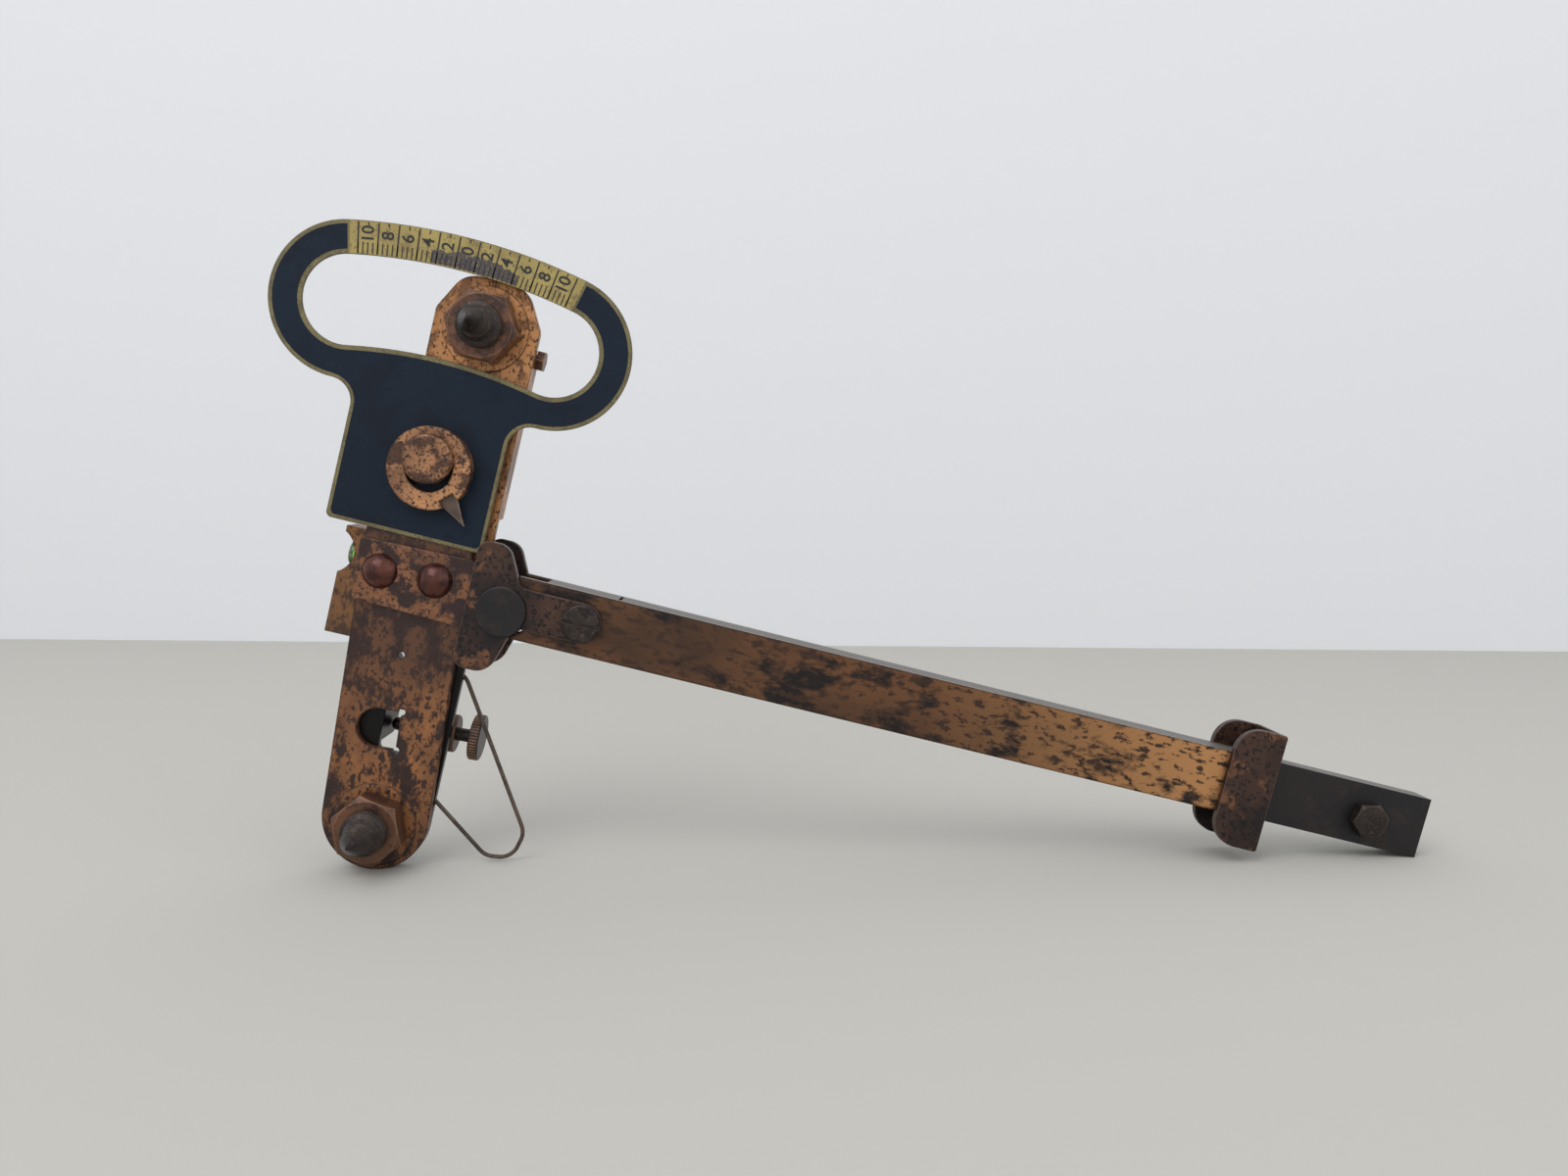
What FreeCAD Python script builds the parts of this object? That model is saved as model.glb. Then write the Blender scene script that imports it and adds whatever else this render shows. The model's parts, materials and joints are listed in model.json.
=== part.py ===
# Camber caster gauge: two steel strips on one pivot stud, a degree scale, a level and a hinged arm
# with a sliding extension. Millimetres, +X to the right, +Y away from the scale's face, +Z up.
import FreeCAD, Part
import math
import os

doc = FreeCAD.newDocument("Gauge")
sheet = doc.addObject("Spreadsheet::Sheet", "Sizes")
aliases = []


def put(alias, value):
    """One driving dimension: a named cell of the sheet."""
    aliases.append(alias)
    row = len(aliases)
    sheet.set("A%d" % row, alias)
    sheet.set("B%d" % row, str(value))
    sheet.setAlias("B%d" % row, alias)


# How the pieces lean at rest, in degrees from upright, or from level for the arm.
put("strip_lean", 10.5)
put("bar_lean", 13.7)
put("dial_lean", 14.2)
put("pointer_lean", -29.0)
put("pointer_drop", 3.1)
put("scale_limit", 10.0)

# The two long strips and the gap between them.
put("strip_width", 37.4)
put("strip_thick", 3.0)
put("stud_drop", 16.3)
put("bar_width", 36.6)
put("bar_thick", 3.0)
put("bar_gap", 0.4)
put("boss_radius", 14.8)
put("boss_rise", 0.8)
put("flange_depth", 6.0)
put("flange_low", 115.0)
put("flange_thick", 2.4)
put("sight_hole_height", 61.5)
put("sight_hole_radius", 1.2)

# The lanced tab of the front strip and the window it passes through.
put("tab_width", 14.0)
put("tab_height", 34.4)
put("tab_side", 3.2)
put("slot_length", 14.7)
put("relief_radius", 1.4)
put("tab_reach", 17.0)
put("window_play", 1.4)
put("bar_tab_low", 28.5)
put("bar_tab_high", 40.0)

# Studs, nuts and running fits.
put("stud_radius", 7.6)
put("stud_step_radius", 4.5)
put("stud_out", 19.0)
put("stud_plain", 4.0)
put("stud_point", 7.0)
put("nut_flats", 22.2)
put("nut_thick", 9.5)
put("pivot_head_radius", 11.0)
put("pivot_head_thick", 4.2)
put("upper_back_thick", 5.0)
put("running_fit", 0.06)
put("face_gap", 0.3)

# Scale plate.
put("dial_thick", 1.0)
put("dial_shift", -12.2)
put("dial_radius", 180.3)
put("dial_reach", 36.0)
put("dial_cap", 26.8)
put("dial_window_half", 15.4)
put("dial_body_half", 27.5)
put("dial_body_low", 102.8)
put("dial_neck_round", 8.0)
put("dial_corner_round", 2.0)
put("dial_hole_radius", 1.0)

# Centre pin and its loose pointer ring.
put("centre_pin_height", 131.0)
put("centre_pin_radius", 5.0)
put("centre_head_radius", 8.6)
put("centre_head_thick", 3.0)
put("ring_radius", 14.4)
put("ring_bore", 8.2)
put("ring_thick", 4.8)
put("needle_length", 8.6)
put("needle_width", 5.6)
put("needle_thick", 1.4)
put("needle_seat", 3.0)

# Strap and its rivets.
put("strap_thick", 2.3)
put("strap_lug_radius", 9.0)
put("strap_left", -19.6)
put("strap_low", 78.9)
put("strap_high", 100.4)
put("rivet_spacing", 19.2)
put("rivet_height", 89.7)
put("rivet_centre", -1.8)
put("rivet_radius", 3.0)
put("rivet_head_radius", 6.2)
put("rivet_head_rise", 3.6)
put("rivet_tail_rise", 1.2)

# Hinge of the arm.
put("hinge_side", 32.6)
put("hinge_height", 83.6)
put("hinge_pin_radius", 4.0)
put("hinge_head_radius", 8.7)
put("hinge_head_thick", 1.8)
put("hinge_tail_radius", 7.2)

# The arm: two plates over a spacer, ears at the hinge, a saddle at the far end, the bar inside.
put("arm_height", 22.2)
put("arm_rise", 2.1)
put("arm_plate_thick", 2.5)
put("extension_thick", 11.0)
put("slide_clearance", 0.2)
put("arm_start", 3.0)
put("spacer_start", 12.5)
put("cheek_thick", 2.5)
put("ear_flat", -12.5)
put("ear_high", 22.9)
put("ear_low", -22.4)
put("ear_lobe_side", -2.0)
put("tongue_high", 9.6)
put("tongue_low", -4.6)
put("tongue_end", 34.6)
put("ear_screw_height", 2.5)
put("ear_nut_flats", 11.0)
put("ear_nut_thick", 4.5)
put("ear_screw_side", 27.7)
put("ear_screw_radius", 3.0)
put("ear_screw_head", 6.75)
put("ear_screw_rise", 2.6)
put("ear_screw_slot", 1.3)
put("saddle_face", 281.9)
put("saddle_width", 17.7)
put("saddle_web", 2.5)
put("saddle_high", 23.5)
put("saddle_low", -19.9)
put("saddle_round", 9.2)
put("travel", 150.0)
put("travel_pin_radius", 2.4)
put("extension_start", 39.0)
put("end_bolt_radius", 3.1)
put("end_bolt_flats", 11.6)
put("end_bolt_head", 4.6)
put("end_nut_thick", 5.0)
put("end_bolt_height", 0.8)
put("spacer_end", 38.0)
put("guide_slot_half", 2.5)

# Thumb screw and its lug on the bar.
put("thumb_depth", 12.6)
put("thumb_radius", 2.4)
put("thumb_head_radius", 8.25)
put("thumb_head_thick", 3.8)
put("thumb_height", 33.4)
put("thumb_head_side", 26.1)
put("tip_gap", 0.1)
put("lock_nut_side", 15.2)
put("lock_nut_thick", 5.5)
put("lock_nut_radius", 6.8)

# Level.
put("level_left", -33.2)
put("level_right", -6.0)
put("level_low", 62.5)
put("level_high", 101.0)
put("level_sheet", 1.5)
put("vial_height", 91.5)
put("vial_radius", 4.4)
put("vial_wall", 0.9)
put("vial_left", -31.4)
put("vial_length", 23.8)
put("notch_radius", 8.2)
put("notch_reach", 4.4)
put("channel_low", 82.5)
put("channel_rear", 19.0)
put("vial_depth", 12.7)
put("saddle_thick", 4.0)
put("bubble_length", 7.0)
put("stopper_length", 1.6)
put("level_rivet_radius", 1.6)
put("level_rivet_high", 76.0)
put("level_rivet_low", 67.0)
put("level_rivet_side", -12.0)

# Bail wire and the small screw in the bar's edge.
put("wire_radius", 0.75)
put("edge_screw_radius", 1.1)
put("edge_screw_flats", 6.4)
put("edge_screw_head", 2.8)
put("edge_screw_length", 5.0)
put("wire_bend", 7.0)
put("wire_root_side", 4.0)
put("wire_root_height", 61.0)
put("wire_knee_side", 18.5)
put("wire_knee_height", 58.0)
put("wire_toe_side", 51.5)
put("wire_toe_height", 6.5)
put("wire_low_side", 49.0)
put("wire_low_height", -3.6)
put("wire_heel_side", 39.5)
put("wire_heel_height", -4.8)
put("wire_end_side", 15.0)
put("wire_end_height", 13.0)

# Places that follow from the arm's length and from the scale's radius.
put("extension_show", 60.8)
put("extension_end", "=saddle_face + extension_show")
put("bolt_inset", 22.0)
put("end_bolt_side", "=extension_end - bolt_inset")
put("pin_inset", 9.9)
put("travel_pin_side", "=saddle_face - pin_inset")
put("stud_below_scale", 1.4)
put("upper_stud_height", "=dial_radius - stud_below_scale")
put("edge_screw_drop", 5.8)
put("edge_screw_height", "=upper_stud_height - edge_screw_drop")
put("bar_over_stud", 17.1)
put("crown_share", 0.6)
put("crown_round", 9.0)
put("bar_top", "=upper_stud_height + bar_over_stud")
put("shoulder_over_stud", 3.5)
put("bar_shoulder", "=upper_stud_height + shoulder_over_stud")
put("flange_over_screw", 1.9)
put("flange_high", "=edge_screw_height + flange_over_screw")

doc.recompute()


class Sizes:
    """The sheet's values, read back by name."""


for alias in aliases:
    setattr(Sizes, alias, float(sheet.get(alias)))
s = Sizes

# Depths, front to back: where each layer's front and rear face lie.
BAR_FRONT = s.strip_thick + s.bar_gap
BAR_REAR = BAR_FRONT + s.bar_thick
ARM_FRONT = -s.slide_clearance - s.arm_plate_thick
ARM_REAR = s.extension_thick + s.slide_clearance + s.arm_plate_thick
EAR_FRONT = ARM_FRONT - s.cheek_thick
EAR_REAR = ARM_REAR + s.cheek_thick

Y_AXIS = FreeCAD.Vector(0, 1, 0)
pieces = []
nodes = []


class Frame:
    """A local frame turned about Y: its origin in the row's XZ plane, and its angle in degrees."""

    def __init__(self, x, z, angle):
        self.origin = FreeCAD.Vector(x, 0, z)
        self.turn = FreeCAD.Rotation(Y_AXIS, angle)

    def point(self, x, y, z):
        return self.origin + self.turn.multVec(FreeCAD.Vector(x, y, z))

    def place(self, x=0.0, y=0.0, z=0.0, spin=0.0):
        return FreeCAD.Placement(self.point(x, y, z), self.turn.multiply(FreeCAD.Rotation(Y_AXIS, spin)))


STRIP = Frame(0, s.stud_drop, s.strip_lean)
BAR = Frame(0, s.stud_drop, s.bar_lean)
DIAL_BASE = Frame(0, s.stud_drop, s.dial_lean)
dial_origin = DIAL_BASE.point(s.dial_shift, 0, 0)
DIAL = Frame(dial_origin.x, dial_origin.z, s.dial_lean)
hinge_point = STRIP.point(s.hinge_side, 0, s.hinge_height)
# The arm slopes until the lower corner of its extension bar rests on the floor.
arm_low = s.arm_rise - s.arm_height / 2
arm_high = s.arm_rise + s.arm_height / 2
arm_reach = math.hypot(s.extension_end, arm_low)
arm_slope = math.degrees(math.asin(hinge_point.z / arm_reach) - math.atan2(-arm_low, s.extension_end))
ARM = Frame(hinge_point.x, hinge_point.z, arm_slope)


def plane_of(body, role):
    return [item for item in body.Origin.OriginFeatures if item.Role == role][0]


def new_body(label, placement):
    body = doc.addObject("PartDesign::Body", label)
    body.Label = label
    body.Placement = placement
    pieces.append(body)
    nodes.append(body)
    return body


def add_sketch(body, role, geometry, shift=0.0):
    """A sketch on one of the body's own planes, moved along the plane's normal."""
    sketch = body.newObject("Sketcher::SketchObject", body.Name + "Sketch")
    sketch.AttachmentSupport = [(plane_of(body, role), "")]
    sketch.MapMode = "FlatFace"
    sketch.AttachmentOffset = FreeCAD.Placement(FreeCAD.Vector(0, 0, shift), FreeCAD.Rotation())
    sketch.addGeometry(geometry, False)
    return sketch


def bind(feature, prop, rule):
    """A number stays a number, and a name or formula is bound to the sheet."""
    if isinstance(rule, str):
        for alias in sorted(aliases, key=len, reverse=True):
            rule = rule.replace("<%s>" % alias, "Sizes." + alias)
        feature.setExpression(prop, rule)
    else:
        setattr(feature, prop, rule)


def pad(body, geometry, length, role="XZ_Plane", shift=0.0, backwards=False):
    feature = body.newObject("PartDesign::Pad", body.Name + "Pad")
    feature.Profile = add_sketch(body, role, geometry, shift)
    bind(feature, "Length", length)
    feature.Reversed = backwards
    return feature


def cut_through(body, geometry, role="XZ_Plane"):
    feature = body.newObject("PartDesign::Pocket", body.Name + "Pocket")
    feature.Profile = add_sketch(body, role, geometry)
    feature.Type = "ThroughAll"
    feature.Midplane = True
    return feature


def turned(label, placement, profile, along="V_Axis"):
    """A turned piece: its half profile spun about the sketch's own axis."""
    body = new_body(label, placement)
    feature = body.newObject("PartDesign::Revolution", label + "Turn")
    sketch = add_sketch(body, "XY_Plane", profile)
    feature.Profile = sketch
    feature.ReferenceAxis = (sketch, [along])
    feature.Angle = 360.0
    return body


def vec(x, y):
    return FreeCAD.Vector(x, y, 0)


def circle(x, y, radius):
    return Part.Circle(vec(x, y), FreeCAD.Vector(0, 0, 1), radius)


def outline(corners):
    """Closed lines through the corners (x, y) or (x, y, rounding), with tangent arcs at the rounded ones."""
    starts, ends, arcs = [], [], []
    count = len(corners)
    for i, corner in enumerate(corners):
        here = vec(corner[0], corner[1])
        before = vec(*corners[i - 1][:2])
        after = vec(*corners[(i + 1) % count][:2])
        radius = corner[2] if len(corner) > 2 else 0.0
        if radius <= 0:
            starts.append(here)
            ends.append(here)
            arcs.append(None)
            continue
        to_before = (before - here).normalize()
        to_after = (after - here).normalize()
        half = to_before.getAngle(to_after) / 2
        reach = radius / math.tan(half)
        centre = here + (to_before + to_after).normalize() * (radius / math.sin(half))
        start = here + to_before * reach
        end = here + to_after * reach
        middle = centre + (here - centre).normalize() * radius
        starts.append(start)
        ends.append(end)
        arcs.append(Part.Arc(start, middle, end))
    edges = []
    for i in range(count):
        if arcs[i]:
            edges.append(arcs[i])
        following = starts[(i + 1) % count]
        if (following - ends[i]).Length > 1e-4:
            edges.append(Part.LineSegment(ends[i], following))
    return edges


def box_outline(x0, y0, x1, y1, rounding=0.0):
    return outline([(x0, y0, rounding), (x1, y0, rounding), (x1, y1, rounding), (x0, y1, rounding)])


def hexagon(flats, x=0.0, y=0.0, turn=0.0):
    corner = flats / math.sqrt(3)
    points = []
    for k in range(6):
        angle = math.radians(60 * k + turn)
        points.append((x + corner * math.cos(angle), y + corner * math.sin(angle)))
    return outline(points)


def polar(radius, degrees):
    """A point at this radius and angle from straight up."""
    return vec(radius * math.sin(math.radians(degrees)), radius * math.cos(math.radians(degrees)))


def groove(body, profile):
    feature = body.newObject("PartDesign::Groove", body.Name + "Groove")
    sketch = add_sketch(body, "XY_Plane", profile)
    feature.Profile = sketch
    feature.ReferenceAxis = (sketch, ["V_Axis"])
    feature.Angle = 360.0
    return feature


def hex_piece(body, flats, thick, bore=0.0, shift=0.0, turn=0.0):
    """A hexagon of the given thickness with its front and rear corners turned off."""
    section = hexagon(flats, turn=turn)
    if bore > 0:
        section.append(circle(0, 0, bore))
    pad(body, section, thick, shift=shift)
    inner = flats / 2 - 0.3
    outer = flats / math.sqrt(3) + 0.5
    fall = (outer - inner) * math.tan(math.radians(30))
    front = -shift - thick
    corners = outline([(inner, front), (outer, front), (outer, front + fall)])
    corners += outline([(inner, -shift), (outer, -shift - fall), (outer, -shift)])
    groove(body, corners)


def group(label, members):
    """One node of several like solids."""
    compound = doc.addObject("Part::Compound", label)
    compound.Label = label
    compound.Links = members
    for member in members:
        nodes.remove(member)
    nodes.append(compound)


# Front strip: rounded ends, raised ring round the stud, lanced slot with its tab bent back.
strip_half = s.strip_width / 2
foot_centre = (strip_half - s.stud_drop) / math.cos(math.radians(s.strip_lean))
slot_round = s.tab_width / 2
tab_low = s.tab_height - slot_round
tab_high = s.tab_height + slot_round
rivet_sides = [s.rivet_centre - s.rivet_spacing / 2, s.rivet_centre + s.rivet_spacing / 2]
full_round = strip_half - 0.01
strip_high = s.centre_pin_height + strip_half
front_strip = new_body("front_strip", STRIP.place(y=s.strip_thick))
strip_profile = outline([(-strip_half, foot_centre - strip_half, full_round),
                         (strip_half, foot_centre - strip_half, full_round),
                         (strip_half, strip_high, full_round), (-strip_half, strip_high, full_round)])
strip_profile.append(circle(0, 0, s.stud_radius))
strip_profile.append(circle(0, s.sight_hole_height, s.sight_hole_radius))
strip_profile.append(circle(0, s.centre_pin_height, s.centre_pin_radius))
for side in rivet_sides:
    strip_profile.append(circle(side, s.rivet_height, s.rivet_radius))
pad(front_strip, strip_profile, "<strip_thick>")
pad(front_strip, [circle(0, 0, s.boss_radius), circle(0, 0, s.stud_radius)], "<boss_rise>", shift=s.strip_thick)
slot_left = s.tab_side - s.slot_length
cut_through(front_strip, outline([(slot_left, tab_low, slot_round - 0.01), (s.tab_side, tab_low),
                                  (s.tab_side, tab_high), (slot_left, tab_high, slot_round - 0.01)]))
for height in (tab_low, tab_high):
    cut_through(front_strip, [circle(s.tab_side, height, s.relief_radius)])
tab_inset = s.relief_radius + 0.1
tab_profile = outline([(-1.0, tab_low + tab_inset), (s.tab_reach, tab_low + tab_inset, 4),
                       (s.tab_reach, tab_high - tab_inset, 4), (-1.0, tab_high - tab_inset)])
tab_profile.append(circle(s.thumb_depth, s.thumb_height, s.thumb_radius + s.running_fit))
pad(front_strip, tab_profile, "<strip_thick>", role="YZ_Plane", shift=s.tab_side)

# Back bar: swings on the lower stud, with a window for the tab and a relief for the hinge pin.
bar_half = s.bar_width / 2
bar_round = bar_half - 0.01
bar_foot = (bar_half - s.stud_drop) / math.cos(math.radians(s.bar_lean)) - bar_half
rest_reading = s.bar_lean - s.strip_lean
limit = math.radians(s.scale_limit)
window_left = s.tab_side - tab_high * math.sin(limit) - s.window_play
window_right = s.tab_side + s.strip_thick + tab_high * math.sin(limit) + s.face_gap
window_low = tab_low * math.cos(limit) - (s.tab_side + s.strip_thick) * math.sin(limit)
window_high = tab_high + s.face_gap
hinge_span = math.hypot(s.hinge_side, s.hinge_height)
hinge_turn = math.degrees(math.atan2(s.hinge_side, s.hinge_height)) - s.scale_limit
pin_near = polar(hinge_span, hinge_turn)
relief = s.hinge_pin_radius + 2 * s.face_gap
sight = polar(s.sight_hole_height, -rest_reading)
back_bar = new_body("back_bar", BAR.place(y=BAR_REAR))
bar_profile = outline([
    (-bar_half, bar_foot, bar_round), (bar_half, bar_foot, bar_round),
    (bar_half, pin_near.y - 2.2 * relief, 1.5), (pin_near.x - relief, pin_near.y - 1.7 * relief, 3),
    (pin_near.x - relief, pin_near.y + relief, 3), (bar_half, pin_near.y + 1.5 * relief, 1.5),
    (bar_half, s.bar_shoulder, 4), (s.crown_share * bar_half, s.bar_top, s.crown_round),
    (-s.crown_share * bar_half, s.bar_top, s.crown_round), (-bar_half, s.bar_shoulder, 4)])
bar_profile.append(circle(0, 0, s.stud_radius + s.running_fit))
bar_profile.append(circle(sight.x, sight.y, s.sight_hole_radius + 0.4))
bar_profile.append(circle(0, s.upper_stud_height, s.stud_radius))
for height in (s.level_rivet_low, s.level_rivet_high):
    bar_profile.append(circle(s.level_rivet_side, height, s.level_rivet_radius))
bar_profile += box_outline(window_left, window_low, window_right, window_high, 2)
pad(back_bar, bar_profile, "<bar_thick>")
pad(back_bar, [circle(0, s.upper_stud_height, s.boss_radius), circle(0, s.upper_stud_height, s.stud_radius)],
    "<boss_rise>", shift=s.bar_thick)
for side in (-1, 1):
    edge_x = side * bar_half
    inner_x = side * (bar_half - s.flange_thick)
    pad(back_bar, box_outline(min(edge_x, inner_x), s.flange_low, max(edge_x, inner_x), s.flange_high, 1.0),
        "<flange_depth>", shift=-s.flange_depth)
pad(back_bar, outline([(-1.0, s.bar_tab_low), (s.tab_reach - s.bar_gap, s.bar_tab_low, 3),
                       (s.tab_reach - s.bar_gap, s.bar_tab_high, 3), (-1.0, s.bar_tab_high)]),
    "<bar_thick>", role="YZ_Plane", shift=window_left - s.bar_thick)
edge_hole = back_bar.newObject("PartDesign::Pocket", "EdgeScrewHole")
edge_depth = s.flange_depth / 2
edge_hole.Profile = add_sketch(back_bar, "YZ_Plane", [circle(edge_depth, s.edge_screw_height, s.edge_screw_radius)],
                               bar_half)
bind(edge_hole, "Length", "<edge_screw_length>")


def stud_profile(rear, nut_face):
    """Half profile of a pointed stud: threaded length, step and cone, pointing to -Y."""
    step = nut_face - s.stud_plain
    tip = nut_face - s.stud_out
    slope = s.stud_radius - s.stud_step_radius
    return outline([(0, rear), (s.stud_radius, rear), (s.stud_radius, step),
                    (s.stud_step_radius, step - slope), (s.stud_step_radius, tip + s.stud_point), (0, tip)])


# Lower stud: the pivot of both strips, its head behind and a nut in front.
lower_seat = -s.boss_rise
head_face = BAR_REAR + s.running_fit
head_rear = head_face + s.pivot_head_thick
pivot_profile = [(0, head_rear), (s.pivot_head_radius, head_rear, 0.8), (s.pivot_head_radius, head_face),
                 (s.stud_radius, head_face)]
step = lower_seat - s.nut_thick - s.stud_plain
tip = lower_seat - s.nut_thick - s.stud_out
slope = s.stud_radius - s.stud_step_radius
point = [(s.stud_step_radius, step - slope), (s.stud_step_radius, tip + s.stud_point), (0, tip)]
turned("lower_stud", STRIP.place(), outline(pivot_profile + [(s.stud_radius, step)] + point))
lower_nut = new_body("lower_nut", STRIP.place(y=lower_seat, spin=12))
hex_piece(lower_nut, s.nut_flats, s.nut_thick, bore=s.stud_radius)

# Upper stud: carried by the bar, travels in the scale's window.
upper_seat = BAR_FRONT - s.boss_rise
turned("upper_stud", BAR.place(z=s.upper_stud_height),
       stud_profile(BAR_REAR + s.upper_back_thick + 1.5, upper_seat - s.nut_thick))
upper_nut = new_body("upper_nut", BAR.place(y=upper_seat, z=s.upper_stud_height))
hex_piece(upper_nut, s.nut_flats, s.nut_thick, bore=s.stud_radius)
upper_back_nut = new_body("upper_back_nut", BAR.place(y=BAR_REAR + s.upper_back_thick, z=s.upper_stud_height))
hex_piece(upper_back_nut, s.nut_flats, s.upper_back_thick, bore=s.stud_radius)

# Scale plate: a loop on a curved path about the pivot, over a straight body.
cap_turn = math.degrees(math.asin(s.dial_reach / s.dial_radius))
low_radius = s.dial_radius - s.dial_cap
high_radius = s.dial_radius + s.dial_cap
cap_centre = polar(s.dial_radius, cap_turn)
neck_x = s.dial_body_half + s.dial_neck_round
neck_z = cap_centre.y - math.sqrt((s.dial_cap + s.dial_neck_round) ** 2 - (cap_centre.x - neck_x) ** 2)
cap_foot_turn = math.degrees(math.atan2(neck_x - cap_centre.x, neck_z - cap_centre.y)) % 360
corner = s.dial_corner_round
dial_edges = [Part.Arc(polar(high_radius, -cap_turn), polar(high_radius, 0), polar(high_radius, cap_turn))]
for side in (-1, 1):
    cap_here = polar(s.dial_radius, side * cap_turn)
    neck_here = vec(side * neck_x, neck_z)
    cap_foot = cap_here + polar(s.dial_cap, side * cap_foot_turn)
    cap_middle = cap_here + polar(s.dial_cap, side * (cap_turn + cap_foot_turn) / 2)
    neck_foot = vec(side * s.dial_body_half, neck_z)
    inward = (cap_foot - neck_here) + (neck_foot - neck_here)
    low_side = vec(side * s.dial_body_half, s.dial_body_low + corner)
    low_end = vec(side * (s.dial_body_half - corner), s.dial_body_low)
    low_middle = vec(side * (s.dial_body_half - corner), s.dial_body_low + corner) + polar(corner, side * 135)
    dial_edges.append(Part.Arc(polar(high_radius, side * cap_turn), cap_middle, cap_foot))
    dial_edges.append(Part.Arc(cap_foot, neck_here + inward.normalize() * s.dial_neck_round, neck_foot))
    dial_edges.append(Part.LineSegment(neck_foot, low_side))
    dial_edges.append(Part.Arc(low_side, low_middle, low_end))
dial_edges.append(Part.LineSegment(vec(-s.dial_body_half + corner, s.dial_body_low),
                                   vec(s.dial_body_half - corner, s.dial_body_low)))
window_inner = s.dial_radius - s.dial_window_half
window_outer = s.dial_radius + s.dial_window_half
for radius in (window_inner, window_outer):
    dial_edges.append(Part.Arc(polar(radius, -cap_turn), polar(radius, 0), polar(radius, cap_turn)))
for side in (-1, 1):
    outward = polar(s.dial_radius, side * cap_turn) + polar(s.dial_window_half, side * (cap_turn + 90))
    dial_edges.append(Part.Arc(polar(window_inner, side * cap_turn), outward, polar(window_outer, side * cap_turn)))
centre_point = STRIP.point(0, 0, s.centre_pin_height)
pin_on_dial = DIAL.turn.inverted().multVec(centre_point - DIAL.origin)
dial_edges.append(circle(pin_on_dial.x, pin_on_dial.z, s.centre_pin_radius))
dial_edges.append(circle(0, low_radius, s.dial_hole_radius))
dial_plate = new_body("dial_plate", DIAL.place())
pad(dial_plate, dial_edges, "<dial_thick>")

# Centre pin through the scale and the strip, with a loose ring that carries a pointer.
ring_rear = -s.dial_thick - s.face_gap
ring_front = ring_rear - s.ring_thick
pin_face = ring_front - s.face_gap
turned("center_pin", STRIP.place(z=s.centre_pin_height),
       outline([(0, s.strip_thick), (s.centre_pin_radius, s.strip_thick), (s.centre_pin_radius, pin_face),
                (s.centre_head_radius, pin_face), (s.centre_head_radius, pin_face - s.centre_head_thick, 1.2),
                (0, pin_face - s.centre_head_thick)]))
POINTER = Frame(centre_point.x, centre_point.z - s.pointer_drop, s.pointer_lean)
needle_root = -s.ring_radius + s.needle_seat
pointer_ring = new_body("pointer_ring", POINTER.place(y=ring_rear))
pad(pointer_ring, [circle(0, 0, s.ring_radius), circle(0, 0, s.ring_bore)], "<ring_thick>")
cut_through(pointer_ring, box_outline(-s.needle_width / 2, needle_root - 2 * s.needle_seat, s.needle_width / 2,
                                      needle_root))
needle_mid = (s.ring_thick - s.needle_thick) / 2
pointer_needle = new_body("pointer_needle", POINTER.place(y=ring_rear - needle_mid))
pad(pointer_needle, outline([(-s.needle_width / 2, needle_root), (-s.needle_width / 2, -s.ring_radius + 0.6),
                             (0, -s.ring_radius - s.needle_length), (s.needle_width / 2, -s.ring_radius + 0.6),
                             (s.needle_width / 2, needle_root)]), "<needle_thick>")

# Strap riveted across the strip, running on as a lug to the hinge pin.
strap = new_body("hinge_strap", STRIP.place())
strap_right = s.hinge_side - s.strap_lug_radius - 3
lug_low = s.hinge_height - s.strap_lug_radius
lug_high = s.hinge_height + s.strap_lug_radius
lug_end = s.hinge_side + s.strap_lug_radius
lug_round = s.strap_lug_radius - 0.05
strap_profile = outline([(s.strap_left, s.strap_low, 1.5), (s.hinge_side - 8, lug_low, 6),
                         (lug_end, lug_low, lug_round), (lug_end, lug_high, lug_round),
                         (strap_right + 0.5, lug_high, 1), (strap_right, s.strap_high - 1.4, 2),
                         (s.strap_left, s.strap_high, 1.5)])
strap_profile.append(circle(s.hinge_side, s.hinge_height, s.hinge_pin_radius))
for side in rivet_sides:
    strap_profile.append(circle(side, s.rivet_height, s.rivet_radius))
pad(strap, strap_profile, "<strap_thick>")
rivets = []
strap_front = -s.strap_thick
dome_high = s.rivet_head_rise
for number, side in enumerate(rivet_sides, 1):
    dome_top = strap_front - dome_high
    dome_bulge = (dome_high ** 2 + s.rivet_head_radius ** 2) / (2 * dome_high)
    dome_turn = math.asin(s.rivet_head_radius / dome_bulge) / 2
    dome_middle = vec(dome_bulge * math.sin(dome_turn), dome_top + dome_bulge * (1 - math.cos(dome_turn)))
    corners = [vec(0, dome_top), vec(0, s.strip_thick), vec(s.rivet_radius, s.strip_thick),
               vec(s.rivet_radius, strap_front), vec(s.rivet_head_radius, strap_front)]
    edges = []
    for start, end in zip(corners, corners[1:]):
        edges.append(Part.LineSegment(start, end))
    edges.append(Part.Arc(corners[-1], dome_middle, corners[0]))
    rivets.append(turned("strap_rivet_%d" % number, STRIP.place(x=side, z=s.rivet_height), edges))
group("strap_rivets", rivets)

# Hinge pin: flat head in front of the ear, peened over behind the rear ear.
pin_front = EAR_FRONT - s.running_fit
pin_rear = EAR_REAR + s.running_fit
turned("hinge_pin", STRIP.place(x=s.hinge_side, z=s.hinge_height),
       outline([(0, pin_front - s.hinge_head_thick), (s.hinge_head_radius, pin_front - s.hinge_head_thick, 0.5),
                (s.hinge_head_radius, pin_front), (s.hinge_pin_radius, pin_front), (s.hinge_pin_radius, pin_rear),
                (s.hinge_tail_radius, pin_rear), (s.hinge_tail_radius - 1, pin_rear + s.rivet_tail_rise),
                (0, pin_rear + s.rivet_tail_rise)]))

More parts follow.
